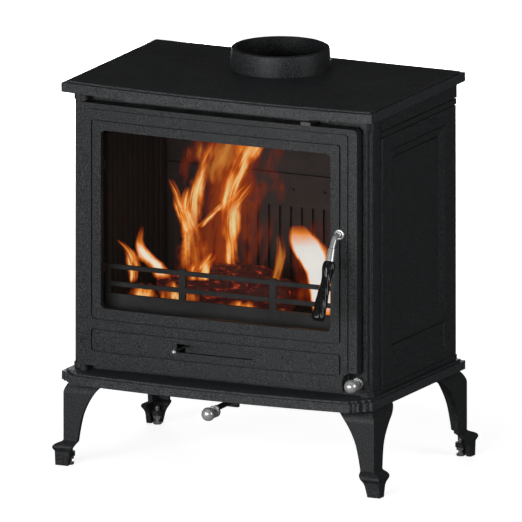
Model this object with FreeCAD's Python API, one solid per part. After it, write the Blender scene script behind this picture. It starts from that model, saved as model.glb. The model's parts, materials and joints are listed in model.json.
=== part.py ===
import FreeCAD, Part
import math
import os

# Millimetres, +Z up, front towards -Y. Shapes are drawn about the centre of the top plate,
# then moved back by Y_SHIFT so that the origin is under the middle of the whole stove.
Y_SHIFT = 38.75

# Top plate
TOP_Z = 672.3
TOP_STEP_Z = 689.0
TOP_FACE_Z = 692.4
PLATE_HALF = 301.5
PLATE_INSET = 6.0
PLATE_BACK = 190.0
TOP_FRONT_MID = -210.0
TOP_FRONT_END = -191.5

# Base plate
BASE_Z = 155.7
BASE_STEP_Z = 171.0
BASE_FACE_Z = 174.4
BASE_FRONT_MID = -234.5
BASE_CORNER = [
    (272.0, -219.4), (273.0, -211.8), (277.6, -211.2), (278.6, -206.8), (283.4, -206.2),
    (284.6, -196.6), (294.6, -195.6), (295.6, -189.8), (301.5, -188.4),
]
BEAD_RUN = 5

# Flue collar
FLUE_Y = 70.0
FLUE_BORE = 78.0
FLUE_FOOT = 89.0
FLUE_RIM = 86.5
FLUE_TOP_Z = 729.5
COLLAR_SCREW_RING = 83.3

# Body castings
SIDE_X = 289.0
SIDE_INNER_X = 277.0
FRAME_FRONT = -160.0
FRAME_BACK = -148.0
COLUMN_FRONT = -168.0
SIDE_FRONT = -130.0
REAR_FRONT = 166.0
REAR_BACK = 178.0
FRIEZE_Z = 644.0
BAND_Z = 632.0
PLINTH_Z = 183.5
LEDGE_TOP = 250.0
SIDE_LINES = [(FRIEZE_Z, SIDE_FRONT, REAR_BACK, 286.8), (BAND_Z, SIDE_FRONT, REAR_BACK, 286.8),
              (603.5, -83, 134, 286.4), (586.5, -66, 117, 280.4), (253.0, -83, 134, 286.4)]

# Fire opening in the front frame
OPENING_LEFT = -240.0
OPENING_RIGHT = 252.0
OPENING_LOW = 207.0
OPENING_HIGH = 632.0

# Door
DOOR_HALF = 272.0
DOOR_LOW = 186.5
DOOR_HIGH = 657.8
DOOR_BACK = -170.0
RAISED_HALF = 255.0
RAISED_LOW = 195.8
RAISED_HIGH = 648.2
RAISED_MID = -200.3
RAISED_END = -193.0
FLANGE_MID = -197.3
FLANGE_END = -189.0
WINDOW_HALF = 223.0
WINDOW_LOW = 291.8
WINDOW_HIGH = 611.7
GLASS_HALF = 229.5
GLASS_FRONT = -182.0
GLASS_BACK = -178.0
SEAL = 1.5
SLOT_HALF = 73.5
SLOT_LOW = 227.7
SLOT_HIGH = 243.4
HINGE_X = -262.0
HINGE_Y = -180.0

# Door handle
HANDLE_X = 241.0
HANDLE_Z = 468.8
KEEPER_X = 261.0
GRIP_TOP = (241.0, -235.1, 427.6)
SPINDLE = 5.0
RUNNING = 0.05

# Controls
RIDDLE_X = 264.0
RIDDLE_Z = 198.0
PRIMARY_Z = 133.0
BALL = 12.2

# Firebox
GRATE_TOP = 268.0
LINER_FRONT = -130.0
LINER_TOP = 590.0
RIB_TOP = 432.0
RIB_PITCH = 21.3
RIB_WIDTH = 13.5
AIR_BAR_LOW = 479.0
AIR_BAR_HIGH = 492.0
AIR_HOLE_Z = 463.5
AIR_HOLE_PITCH = 61.5

# Legs, drawn about the middle of the base plate
LEG_Y = 7.5
WEB = 9.0
LEG_BOLTS = ((243, 162), (274, 122))
BOLT_X = 294.4
BOLT_Y = 178.5
TIE_X = 273.0
TIE_FRONT = -134.0
TIE_REAR = 152.0


def vec(x, y, z):
    return FreeCAD.Vector(x, y, z)


def box(x0, x1, y0, y1, z0, z1):
    return Part.makeBox(x1 - x0, y1 - y0, z1 - z0, vec(x0, y0, z0))


def rod(radius, start, along, length):
    return Part.makeCylinder(radius, length, vec(*start), vec(*along))


def cone(radius0, radius1, start, along, length):
    return Part.makeCone(radius0, radius1, length, vec(*start), vec(*along))


def ball(radius, centre):
    return Part.makeSphere(radius, vec(*centre))


def fuse(shapes):
    whole = shapes[0]
    if len(shapes) > 1:
        whole = whole.multiFuse(shapes[1:])
    return whole.removeSplitter()


def group(shapes):
    return Part.makeCompound(shapes)


def mirror_x(shape):
    return shape.mirror(vec(0, 0, 0), vec(1, 0, 0))


def outline(runs, plane):
    """A closed face; each run is a list of points, straight for two and smooth for more."""
    edges = []
    for run in runs:
        points = [vec(*plane(a, b)) for a, b in run]
        if len(points) == 2:
            edges.append(Part.makeLine(points[0], points[1]))
        else:
            curve = Part.BSplineCurve()
            curve.interpolate(points)
            edges.append(curve.toShape())
    return Part.Face(Part.Wire(edges))


def in_xy(z):
    return lambda a, b: (a, b, z)


def in_xz(y):
    return lambda a, b: (a, y, b)


def in_yz(x):
    return lambda a, b: (x, a, b)


def straight(points):
    """Turn a list of corners into straight runs."""
    closed = points + [points[0]]
    return [[closed[i], closed[i + 1]] for i in range(len(points))]


def plan_prism(points, z0, z1):
    return outline(straight(points), in_xy(z0)).extrude(vec(0, 0, z1 - z0))


def front_prism(points, y0, y1):
    return outline(straight(points), in_xz(y0)).extrude(vec(0, y1 - y0, 0))


def arc_front(half, end, middle):
    """A bowed front edge in plan, from left to right."""
    arc = Part.Arc(vec(-half, end, 0), vec(0, middle, 0), vec(half, end, 0))
    return arc.toShape()


def bowed(half, end, middle, back, z0, z1):
    """A block whose front face is bowed outwards."""
    front = arc_front(half, end, middle)
    right = Part.makeLine(vec(half, end, 0), vec(half, back, 0))
    rear = Part.makeLine(vec(half, back, 0), vec(-half, back, 0))
    left = Part.makeLine(vec(-half, back, 0), vec(-half, end, 0))
    face = Part.Face(Part.Wire([front, right, rear, left]))
    face.translate(vec(0, 0, z0))
    return face.extrude(vec(0, 0, z1 - z0))


def upright_slab(half, z0, z1, y0, y1, radius):
    """A slab standing in the door's plane with rounded corners."""
    block = box(-half, half, y0, y1, z0, z1)
    edges = [e for e in block.Edges if abs(e.tangentAt(e.FirstParameter).y) > 0.9]
    return block.makeFillet(radius, edges)


def round_edges(shape, radius, wanted):
    edges = [e for e in shape.Edges if wanted(e)]
    return shape.makeFillet(radius, edges)


def at_height(z):
    def wanted(edge):
        low = edge.BoundBox.ZMin
        high = edge.BoundBox.ZMax
        return abs(low - z) < 0.01 and abs(high - z) < 0.01
    return wanted


def hexagon(across, centre, along_z, length):
    radius = across / math.sqrt(3)
    points = []
    for i in range(6):
        angle = math.radians(60 * i + 30)
        points.append((radius * math.cos(angle), radius * math.sin(angle)))
    prism = plan_prism(points, 0, length)
    if not along_z:
        prism.rotate(vec(0, 0, 0), vec(1, 0, 0), -90)
    prism.translate(vec(*centre))
    return prism


# ---------------------------------------------------------------- plates


def top_plate():
    lower = bowed(PLATE_HALF, TOP_FRONT_END, TOP_FRONT_MID, PLATE_BACK, TOP_Z, TOP_STEP_Z)
    lower = round_edges(lower, 0.8, at_height(TOP_STEP_Z))
    half = PLATE_HALF - PLATE_INSET
    end = TOP_FRONT_END + 6.5
    middle = TOP_FRONT_MID + 7.0
    raised = bowed(half, end, middle, PLATE_BACK - 8, TOP_STEP_Z - 2, TOP_FACE_Z)
    raised = round_edges(raised, 2.0, at_height(TOP_FACE_Z))
    plate = fuse([lower, raised])
    pocket = box(-262, 262, -140, 158, TOP_Z - 1, TOP_Z + 10.5)
    plate = plate.cut(pocket.cut(rod(96, (0, FLUE_Y, TOP_Z - 2), (0, 0, 1), 30)))
    plate = plate.cut(rod(FLUE_BORE, (0, FLUE_Y, TOP_Z - 1), (0, 0, 1), 30))
    for x, y in collar_screw_points():
        plate = plate.cut(rod(2.6, (x, y, TOP_Z - 1), (0, 0, 1), 30))
    for x, y in tie_points():
        plate = plate.cut(rod(3.0, (x, y, TOP_Z - 1), (0, 0, 1), 12.8))
    return plate


def collar_screw_points():
    points = []
    for i in range(3):
        angle = math.radians(90 + 120 * i)
        x = COLLAR_SCREW_RING * math.cos(angle)
        points.append((x, FLUE_Y + COLLAR_SCREW_RING * math.sin(angle)))
    return points


def tie_points():
    return [(x, y) for x in (-TIE_X, TIE_X) for y in (TIE_FRONT, TIE_REAR)]


def flue_collar():
    height = FLUE_TOP_Z - TOP_FACE_Z
    collar = cone(FLUE_FOOT, FLUE_RIM, (0, FLUE_Y, TOP_FACE_Z), (0, 0, 1), height)
    collar = round_edges(collar, 1.5, at_height(FLUE_TOP_Z))
    collar = collar.cut(rod(FLUE_BORE, (0, FLUE_Y, TOP_FACE_Z - 1), (0, 0, 1), height + 2))
    for x, y in collar_screw_points():
        collar = collar.cut(rod(2.5, (x, y, TOP_FACE_Z - 1), (0, 0, 1), 19))
    return collar


def collar_screws():
    screws = []
    for x, y in collar_screw_points():
        head = hexagon(8, (x, y, TOP_Z - 3.5), True, 3.5)
        shank = rod(2.5, (x, y, TOP_Z), (0, 0, 1), 36)
        screws.append(head.fuse(shank))
    return group(screws)


def base_plan(inset, z):
    """Plan of the base plate: bowed front, stepped ogee front corners, square back."""
    corner = [(x - inset, y + inset) for x, y in BASE_CORNER]
    bead_start = corner[BEAD_RUN]
    bead_end = corner[BEAD_RUN + 1]
    bead_mid = ((bead_start[0] + bead_end[0]) / 2 + 0.4, (bead_start[1] + bead_end[1]) / 2 - 2.0)
    right = [list(run) for run in zip(corner, corner[1:])]
    right[BEAD_RUN] = [bead_start, bead_mid, bead_end]
    left = [[(-a, b) for a, b in reversed(run)] for run in reversed(right)]
    side, side_y = corner[-1]
    back = PLATE_BACK - inset
    rest = [[(side, side_y), (side, back)], [(side, back), (-side, back)], [(-side, back), (-side, side_y)]]
    edges = [arc_front(corner[0][0], corner[0][1], BASE_FRONT_MID + inset)]
    for run in right + rest + left:
        points = [vec(a, b, 0) for a, b in run]
        if len(points) == 2:
            edges.append(Part.makeLine(points[0], points[1]))
        else:
            edges.append(Part.Arc(points[0], points[1], points[2]).toShape())
    face = Part.Face(Part.Wire(edges))
    face.translate(vec(0, 0, z))
    return face


def base_plate():
    lower = base_plan(0, BASE_Z).extrude(vec(0, 0, BASE_STEP_Z - BASE_Z))
    raised = base_plan(PLATE_INSET, BASE_STEP_Z - 2).extrude(vec(0, 0, BASE_FACE_Z - BASE_STEP_Z + 2))
    rails = []
    for x in (-162, 150):
        rails.append(box(x, x + 12, -138, 140, BASE_FACE_Z - 1, OPENING_LOW))
    plate = fuse([lower, raised] + rails)
    for x0, x1 in ((-214, -68), (68, 214)):
        plate = plate.cut(box(x0, x1, -190, 160, BASE_Z - 1, BASE_Z + 9.5))
    plate = plate.cut(box(-40, 40, -50, 30, BASE_Z - 1, BASE_FACE_Z + 1))
    for x, y in tie_points():
        plate = plate.cut(rod(3.0, (x, y, BASE_Z - 1), (0, 0, 1), 30))
    for x, y in leg_bolt_points():
        plate = plate.cut(rod(4.0, (x, y, BASE_Z - 1), (0, 0, 1), 13))
    for x in (-51, 51):
        for y in (-70, 40):
            plate = plate.cut(rod(2.0, (x, y, BASE_Z - 1), (0, 0, 1), 11))
    return plate


# ---------------------------------------------------------------- body


def post_plan(grow):
    """Plan of the right-hand corner column."""
    return [
        (262, FRAME_FRONT),
        (273 - grow, FRAME_FRONT),
        (273 - grow, COLUMN_FRONT - grow),
        (281 + grow * 0.4, COLUMN_FRONT - grow),
        (SIDE_X + grow, -159 - grow * 0.4),
        (SIDE_X + grow, SIDE_FRONT - 1.2),
        (SIDE_INNER_X, SIDE_FRONT - 1.2),
        (SIDE_INNER_X, FRAME_BACK),
        (262, FRAME_BACK),
    ]


def corner_post():
    post = plan_prism(post_plan(0), BASE_FACE_Z, TOP_Z)
    cap = plan_prism(post_plan(2.0), 655.5, TOP_Z)
    plinth = plan_prism(post_plan(2.0), BASE_FACE_Z, PLINTH_Z)
    post = fuse([post, cap, plinth])
    flute = rod(3.4, (285.6, -164.2, 198.5), (0, 0, 1), 450.5)
    flute = flute.fuse([ball(3.4, (285.6, -164.2, 198.5)), ball(3.4, (285.6, -164.2, 649))])
    return post.cut(flute)


def front_frame():
    right = corner_post()
    left = mirror_x(right)
    plate = box(-262, 262, FRAME_FRONT, FRAME_BACK, BASE_FACE_Z, TOP_Z)
    frame = fuse([plate, right, left])
    hole = front_prism(
        [
            (OPENING_LEFT, OPENING_LOW),
            (227, OPENING_LOW),
            (227, 238),
            (OPENING_RIGHT, 238),
            (OPENING_RIGHT, OPENING_HIGH),
            (OPENING_LEFT, OPENING_HIGH),
        ],
        FRAME_FRONT - 5,
        FRAME_BACK + 5,
    )
    frame = frame.cut(hole)
    for i in range(5):
        x = -140 + 60 * i
        frame = frame.cut(box(x, x + 40, FRAME_FRONT - 1, FRAME_BACK + 1, 662.5, 667.5))
    for x in (-182, 150):
        frame = frame.cut(rod(2.5, (x, FRAME_FRONT - 1, 666), (0, 1, 0), 12))
    frame = frame.cut(rod(4.1, (RIDDLE_X, FRAME_FRONT - 1, RIDDLE_Z), (0, 1, 0), 14))
    for z in (461, 475):
        frame = frame.cut(rod(1.5, (KEEPER_X, FRAME_BACK + 1, z), (0, -1, 0), 9))
    return frame


def side_panel_right():
    panel = box(SIDE_INNER_X, SIDE_X, SIDE_FRONT, REAR_BACK, BASE_FACE_Z, TOP_Z)
    frieze = box(SIDE_X - 2, SIDE_X + 2, SIDE_FRONT, REAR_BACK, FRIEZE_Z, TOP_Z)
    band = box(SIDE_X - 2, SIDE_X + 1, SIDE_FRONT, REAR_BACK, BAND_Z, FRIEZE_Z)
    plinth = box(SIDE_X - 2, SIDE_X + 2, SIDE_FRONT, REAR_BACK, BASE_FACE_Z + 1.6, PLINTH_Z)
    bead = rod(4.5, (SIDE_X - 2.4, -122.5, PLINTH_Z - 1), (0, 0, 1), BAND_Z - PLINTH_Z + 2)
    ledge = box(263, SIDE_INNER_X + 1, -120, 140, LEDGE_TOP - 12, LEDGE_TOP)
    panel = fuse([panel, frieze, band, plinth, bead, ledge])
    panel = panel.cut(sunk_panel(-83, 134, 276, 603.5, 17, 6))
    panel = panel.cut(sunk_panel(-83, 134, 204, 253, 4, 3))
    for z, y0, y1, bed in SIDE_LINES:
        panel = panel.cut(box(bed, SIDE_X + 5, y0, y1, z - 1.1, z + 1.1))
    return panel


def sunk_panel(y0, y1, z0, z1, border, depth):
    """A hollow with sloping sides, cut into the outer face of the right side."""
    outer = [(y0, z0), (y1, z0), (y1, z1), (y0, z1)]
    inner = [
        (y0 + border, z0 + border),
        (y1 - border, z0 + border),
        (y1 - border, z1 - border),
        (y0 + border, z1 - border),
    ]
    wires = []
    for x, points in ((SIDE_X + 0.01, outer), (SIDE_X - depth, inner)):
        wires.append(outline(straight(points), in_yz(x)).OuterWire)
    hollow = Part.makeLoft(wires, True, True)
    if hollow.Volume < 0:
        hollow.reverse()
    return hollow


def rear_panel():
    panel = box(-SIDE_INNER_X, SIDE_INNER_X, REAR_FRONT, REAR_BACK, BASE_FACE_Z, TOP_Z)
    rib = [box(x - 5, x + 5, REAR_BACK - 1, REAR_BACK + 5, 200, 640) for x in (-180, -60, 60, 180)]
    return fuse([panel] + rib)


def tie_rods():
    return group([rod(3.0, (x, y, BASE_Z - 8), (0, 0, 1), TOP_Z + 10 - BASE_Z + 8) for x, y in tie_points()])


def tie_rod_nuts():
    nuts = []
    for x, y in tie_points():
        nuts.append(hexagon(10, (x, y, BASE_Z - 5), True, 5).cut(rod(3.0, (x, y, 140), (0, 0, 1), 20)))
    return group(nuts)


# ---------------------------------------------------------------- legs


def leg_outer_x(t):
    return [
        [(292.5 - t, BASE_Z), (292.5 - t, 151)],
        [(292.5 - t, 151), (296.5 - t, 145), (300.3 - t, 137), (301.5 - t, 128)],
        [(301.5 - t, 128), (301.5 - t, 45)],
        [(301.5 - t, 45), (306 - t, 42.5), (313 - t, 39.5), (317 - t, 35)],
        [(317 - t, 35), (317.3 - t, 32.5), (316 - t, 28.5), (314.8 - t, 25)],
        [(314.8 - t, 25), (315 - t, 0)],
    ]


def leg_outer_y(t):
    return [
        [(180.5 - t, BASE_Z), (180.5 - t, 151)],
        [(180.5 - t, 151), (184.5 - t, 145), (188.3 - t, 137), (189.5 - t, 128)],
        [(189.5 - t, 128), (189.5 - t, 45)],
        [(189.5 - t, 45), (193 - t, 42.5), (199 - t, 39.5), (202.3 - t, 35)],
        [(202.3 - t, 35), (202.5 - t, 32.5), (199.5 - t, 28.5), (197 - t, 25)],
        [(197 - t, 25), (194.5 - t, 0)],
    ]


def reverse_runs(runs):
    return [list(reversed(run)) for run in reversed(runs)]


def leg_inner_x():
    return [
        [(291, 0), (287, 19)],
        [(287, 19), (283, 28), (280, 34), (276, 41), (274.5, 47)],
        [(274.5, 47), (272, 62.5), (269.5, 75), (266.5, 88), (259, 107.5), (248, 127), (225, 151)],
        [(225, 151), (221, BASE_Z)],
    ]


def leg_inner_y():
    return [
        [(177, 0), (172, 19)],
        [(172, 19), (165, 27), (159, 34), (156, 40), (154.5, 46)],
        [
            (154.5, 46), (152.3, 70), (149.5, 86), (143.5, 101), (134.5, 114), (124, 126.6), (110, 138),
            (96.5, 148),
        ],
        [(96.5, 148), (92, BASE_Z)],
    ]


def closed_runs(outer, inner):
    """Join an outer profile (downwards) and an inner one (upwards) into a loop."""
    foot = [outer[-1][-1], inner[0][0]]
    head = [inner[-1][-1], outer[0][0]]
    return outer + [foot] + inner + [head]


def leg_block():
    """Front-right leg about the leg centre, with both webs towards +X and +Y."""
    across = outline(closed_runs(leg_outer_x(0), leg_inner_x()), in_xz(0)).extrude(vec(0, 230, 0))
    along = outline(closed_runs(leg_outer_y(0), leg_inner_y()), in_yz(0)).extrude(vec(330, 0, 0))
    band_x = outline(closed_runs(leg_outer_x(0), reverse_runs(leg_outer_x(WEB))), in_xz(0))
    band_y = outline(closed_runs(leg_outer_y(0), reverse_runs(leg_outer_y(WEB))), in_yz(0))
    face_web = across.common(band_y.extrude(vec(330, 0, 0)))
    side_web = along.common(band_x.extrude(vec(0, 230, 0)))
    boss = rod(9.6, (BOLT_X, BOLT_Y, 16), (0, 0, 1), 8.5)
    gusset = across.common(along).common(box(BOLT_X, 330, BOLT_Y, 230, 16, 24.5))
    lugs = [
        box(232, 254, 152, 175, BASE_Z - 8, BASE_Z),
        box(264, 287, 112, 132, BASE_Z - 8, BASE_Z),
    ]
    leg = fuse([face_web, side_web, boss, gusset] + lugs)
    leg = leg.cut(rod(4.05, (BOLT_X, BOLT_Y, 10), (0, 0, 1), 30))
    leg = leg.cut(rod(8.6, (BOLT_X, BOLT_Y, -1), (0, 0, 1), 17))
    for x, y in LEG_BOLTS:
        leg = leg.cut(rod(4.0, (x, y, BASE_Z - 9), (0, 0, 1), 10))
    return leg


def placed_leg(shape, right, rear):
    if not rear:
        shape = shape.mirror(vec(0, 0, 0), vec(0, 1, 0))
    if not right:
        shape = mirror_x(shape)
    moved = shape.copy()
    moved.translate(vec(0, LEG_Y, 0))
    return moved


def leg_bolt_points():
    points = []
    for sign_x in (-1, 1):
        for sign_y in (-1, 1):
            for x, y in LEG_BOLTS:
                points.append((sign_x * x, LEG_Y + sign_y * y))
    return points


def leg_bolts():
    bolts = []
    for x, y in leg_bolt_points():
        head = hexagon(13, (x, y, BASE_Z - 13.3), True, 5.3)
        bolts.append(head.fuse(rod(4.0, (x, y, BASE_Z - 8), (0, 0, 1), 19)))
    return group(bolts)


def levelling_bolt():
    head = hexagon(13, (BOLT_X, BOLT_Y, 0), True, 5.5)
    chamfer = cone(7.9, 7.1, (BOLT_X, BOLT_Y, 0), (0, 0, 1), 8)
    shank = rod(4.0, (BOLT_X, BOLT_Y, 5), (0, 0, 1), 24.5)
    tip = ball(4.0, (BOLT_X, BOLT_Y, 29.5))
    return fuse([head.common(chamfer), shank, tip])


def lock_nut():
    nut = hexagon(13, (BOLT_X, BOLT_Y, 10.4), True, 5.6)
    return nut.cut(rod(4.05, (BOLT_X, BOLT_Y, 8), (0, 0, 1), 12))


# ---------------------------------------------------------------- door


def groove(half, z0, z1, radius):
    """A narrow round-cornered groove that follows the bowed face of the door."""
    outer = upright_slab(half + 1.3, z0 - 1.3, z1 + 1.3, -210, -185, radius + 1.3)
    inner = upright_slab(half - 1.3, z0 + 1.3, z1 - 1.3, -211, -184, radius - 1.3)
    core = bowed(RAISED_HALF, RAISED_END + 4, RAISED_MID + 4, -180, z0 - 10, z1 + 10)
    return outer.cut(inner).cut(core)


def rope_outline(offset):
    return [
        (-252 - offset, 196 - offset),
        (238 + offset, 196 - offset),
        (238 + offset, 226 - offset),
        (257.5 + offset, 226 - offset),
        (257.5 + offset, 644 + offset),
        (-252 - offset, 644 + offset),
    ]


def rope_ring(y0, y1):
    return front_prism(rope_outline(5), y0, y1).cut(front_prism(rope_outline(-5), y0 - 1, y1 + 1))


def bowed_slab(half, end, middle, back, z0, z1, radius):
    """A round-cornered slab of the door with a bowed face."""
    wide = half + 4
    wide_end = middle + (end - middle) * (wide / half) ** 2
    block = bowed(wide, wide_end, middle, back, z0 - 4, z1 + 4)
    return block.common(upright_slab(half, z0, z1, -215, back, radius))


def door_frame():
    flange = bowed_slab(DOOR_HALF, FLANGE_END, FLANGE_MID, DOOR_BACK, DOOR_LOW, DOOR_HIGH, 10)
    raised = bowed_slab(RAISED_HALF, RAISED_END, RAISED_MID, -180, RAISED_LOW, RAISED_HIGH, 6)
    door = fuse([flange, raised])
    door = door.cut(upright_slab(WINDOW_HALF, WINDOW_LOW, WINDOW_HIGH, -215, -160, 9))
    rebate = GLASS_HALF + 1
    door = door.cut(upright_slab(rebate, WINDOW_LOW - 7.5, WINDOW_HIGH + 7.5, GLASS_FRONT - SEAL, -160, 6))
    door = door.cut(groove(241, 272.3, 629.3, 6))
    door = door.cut(groove(241, 214.5, 253.6, 5.5))
    slot_box = box(-SLOT_HALF, SLOT_HALF, -215, -160, SLOT_LOW, SLOT_HIGH)
    door = door.cut(slot_box)
    door = door.cut(box(-140, 196, -191, -160, 219, 252))
    notch = box(245, 285, -215, -160, 180, 220)
    notch = round_edges(notch, 16, lambda e: abs(e.BoundBox.XMin - 245) < 0.01
                        and abs(e.BoundBox.XMax - 245) < 0.01 and abs(e.BoundBox.ZMin - 220) < 0.01)
    door = door.cut(notch)
    door = door.cut(rope_ring(DOOR_BACK - 4, DOOR_BACK + 2))
    door = door.cut(rod(SPINDLE + RUNNING, (HANDLE_X, -215, HANDLE_Z), (0, 1, 0), 60))
    door = door.cut(rod(4.0, (HINGE_X, HINGE_Y, 640), (0, 0, 1), 30))
    door = door.cut(rod(4.0, (HINGE_X, HINGE_Y, 180), (0, 0, 1), 26))
    for x, z in clip_points():
        door = door.cut(rod(1.8, (x, DOOR_BACK + 1, z), (0, -1, 0), 11))
    return door


def clip_points():
    return [(side * 240, z) for side in (-1, 1) for z in (360, 545)]


def door_glass():
    return upright_slab(GLASS_HALF, WINDOW_LOW - 6.5, WINDOW_HIGH + 6.5, GLASS_FRONT, GLASS_BACK, 5)


def glass_seal():
    outer = upright_slab(GLASS_HALF, WINDOW_LOW - 6.5, WINDOW_HIGH + 6.5, GLASS_FRONT - SEAL, GLASS_FRONT, 5)
    return outer.cut(upright_slab(WINDOW_HALF + 1, WINDOW_LOW - 1, WINDOW_HIGH + 1, -190, -175, 8))


def glass_clips():
    clips = []
    for x, z in clip_points():
        inward = -math.copysign(1, x)
        foot_x = sorted((x + inward * -6, x + inward * 14))
        lip_x = sorted((x + inward * 11.5, x + inward * 14))
        foot = box(foot_x[0], foot_x[1], DOOR_BACK, DOOR_BACK + 2, z - 8, z + 8)
        lip = box(lip_x[0], lip_x[1], GLASS_BACK, DOOR_BACK + 1, z - 8, z + 8)
        clips.append(foot.fuse(lip).cut(rod(1.8, (x, DOOR_BACK - 1, z), (0, 1, 0), 5)))
    return group(clips)


def glass_screws():
    screws = []
    for x, z in clip_points():
        head = rod(3.6, (x, DOOR_BACK + 2, z), (0, 1, 0), 2.4)
        screws.append(head.fuse(rod(1.8, (x, DOOR_BACK - 9.5, z), (0, 1, 0), 11.5)))
    return group(screws)


def door_rope():
    return rope_ring(DOOR_BACK - 4, FRAME_FRONT - 0.4)


def hinge_pins():
    upper = rod(4.0, (HINGE_X, HINGE_Y, 640), (0, 0, 1), 28)
    lower = rod(4.0, (HINGE_X, HINGE_Y, 176.4), (0, 0, 1), 29.6)
    shoulder = rod(6.5, (HINGE_X, HINGE_Y, 184.6), (0, 0, 1), 1.9)
    return group([upper, lower.fuse(shoulder)])


def hinge_brackets():
    brackets = []
    for z0, z1 in ((660, 669), (BASE_FACE_Z, 184.4)):
        eye = rod(7.0, (HINGE_X, HINGE_Y, z0), (0, 0, 1), z1 - z0)
        lug = box(HINGE_X - 7, HINGE_X + 7, HINGE_Y, FRAME_FRONT, z0, z1).fuse(eye).removeSplitter()
        brackets.append(lug.cut(rod(4.0 + RUNNING, (HINGE_X, HINGE_Y, z0 - 1), (0, 0, 1), 20)))
    return group(brackets)


# ---------------------------------------------------------------- handle


def handle_ring():
    rim = Part.makeTorus(7.4, 2.4, vec(HANDLE_X, -196.2, HANDLE_Z), vec(0, 1, 0))
    flange = rod(8.8, (HANDLE_X, -196.2, HANDLE_Z), (0, 1, 0), 4)
    ring = rim.fuse(flange).cut(rod(SPINDLE + RUNNING, (HANDLE_X, -220, HANDLE_Z), (0, 1, 0), 40))
    face = bowed_slab(RAISED_HALF, RAISED_END, RAISED_MID, -180, RAISED_LOW, RAISED_HIGH, 6)
    return ring.cut(face)


def swept(points, radius, bend):
    """A round rod through three points with one bend."""
    a, b, c = [vec(*p) for p in points]
    first = (b - a).normalize()
    second = (c - b).normalize()
    turn = first.getAngle(second)
    back = bend * math.tan(turn / 2)
    start = b - first * back
    end = b + second * back
    middle_dir = (second - first).normalize()
    centre = b + middle_dir * (bend / math.cos(turn / 2))
    mid = centre - middle_dir * bend
    path = Part.Wire([
        Part.makeLine(a, start),
        Part.Arc(start, mid, end).toShape(),
        Part.makeLine(end, c),
    ])
    circle = Part.Wire(Part.makeCircle(radius, a, first))
    return path.makePipeShell([circle], True, False)


def handle_stem():
    knee = (HANDLE_X, -214.0, HANDLE_Z)
    tip = (HANDLE_X, -226.6, 449.6)
    spindle = rod(SPINDLE, (HANDLE_X, -205, HANDLE_Z), (0, 1, 0), 66)
    arm = swept([(HANDLE_X, -204, HANDLE_Z), knee, tip], SPINDLE, 16.0)
    down = (vec(*GRIP_TOP) - vec(*tip)).normalize()
    ferrule = cone(6.3, 7.3, tip, (down.x, down.y, down.z), 23.6)
    return fuse([spindle, arm, ferrule])


def handle_grip():
    """A turned grip: bulb at the top, slim neck, flaring to a rounded end."""
    top = vec(*GRIP_TOP)
    along = vec(0, -48.8, -94.3)
    length = along.Length
    profile = [(8.6, 0.0), (11.6, 6.5), (11.9, 13.0), (10.2, 21.0), (8.0, 30.0), (7.8, 38.0),
               (9.0, 54.0), (11.0, 74.0), (12.6, 94.0), (12.3, length - 3.0), (9.0, length + 1.0)]
    points = [vec(r, 0, -z) for r, z in profile]
    curve = Part.BSplineCurve()
    curve.interpolate(points)
    edges = [
        Part.makeLine(vec(0, 0, 0), points[0]),
        curve.toShape(),
        Part.makeLine(points[-1], vec(0, 0, -profile[-1][1])),
        Part.makeLine(vec(0, 0, -profile[-1][1]), vec(0, 0, 0)),
    ]
    grip = Part.Face(Part.Wire(edges)).revolve(vec(0, 0, 0), vec(0, 0, 1), 360)
    lean = math.degrees(math.atan2(48.8, 94.3))
    grip.rotate(vec(0, 0, 0), vec(1, 0, 0), -lean)
    grip.translate(top)
    return grip.cut(handle_stem())


def latch_tongue():
    plate = rod(8.0, (HANDLE_X, -147, HANDLE_Z), (0, 1, 0), 5)
    plate = plate.common(box(225, HANDLE_X + 6.5, -150, -130, HANDLE_Z - 10, HANDLE_Z + 10))
    return plate.cut(rod(SPINDLE, (HANDLE_X, -150, HANDLE_Z), (0, 1, 0), 12))


def spindle_nut():
    nut = hexagon(13, (HANDLE_X, -142, HANDLE_Z), False, 3)
    return nut.cut(rod(SPINDLE, (HANDLE_X, -150, HANDLE_Z), (0, 1, 0), 20))


def latch_keeper():
    keeper = box(OPENING_RIGHT + 0.5, 270, FRAME_BACK, -140, 456, 480)
    for z in (461, 475):
        keeper = keeper.cut(rod(1.5, (KEEPER_X, -155, z), (0, 1, 0), 20))
    return keeper


def keeper_screws():
    screws = []
    for z in (461, 475):
        head = rod(2.8, (KEEPER_X, -140, z), (0, 1, 0), 1.8)
        screws.append(head.fuse(rod(1.5, (KEEPER_X, -155.5, z), (0, 1, 0), 16)))
    return group(screws)


# ---------------------------------------------------------------- air controls


def air_slider_plate():
    plate = box(-60, 82, -190.7, -187.8, 221, 250)
    return plate.cut(rod(2.1, (-55.5, -195, 240), (0, 1, 0), 10))


def air_slider_rod():
    shank = rod(2.1, (-55.5, -247, 240), (0, 1, 0), 59.2)
    collar = rod(3.1, (-55.5, -193.2, 240), (0, 1, 0), 2.4)
    return fuse([shank, collar])


def air_slider_tip():
    tip = ball(4.0, (-55.5, -247.5, 240))
    return tip.cut(rod(2.1, (-55.5, -247, 240), (0, 1, 0), 10))


def slider_guides():
    return group([
        box(-139, 195, -187.6, -180, 219.2, 223.5),
        box(-139, 195, -187.6, -180, 247.5, 251.8),
    ])


def airwash_slide():
    strip = box(-192, 205, -163.2, -160.2, 659.2, 670.6)
    for i in range(5):
        x = -140 + 60 * i
        strip = strip.cut(box(x, x + 40, -170, -155, 662.5, 667.5))
    for x in (-182, 150):
        strip = strip.cut(box(x - 2.7, x + 30.7, -170, -155, 663.3, 668.7))
    arm = box(168, 187, -199, -162, 659.2, 661.2)
    tab = box(168, 187, -201, -198, 659.2, 665.6)
    return fuse([strip, arm, tab])


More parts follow.
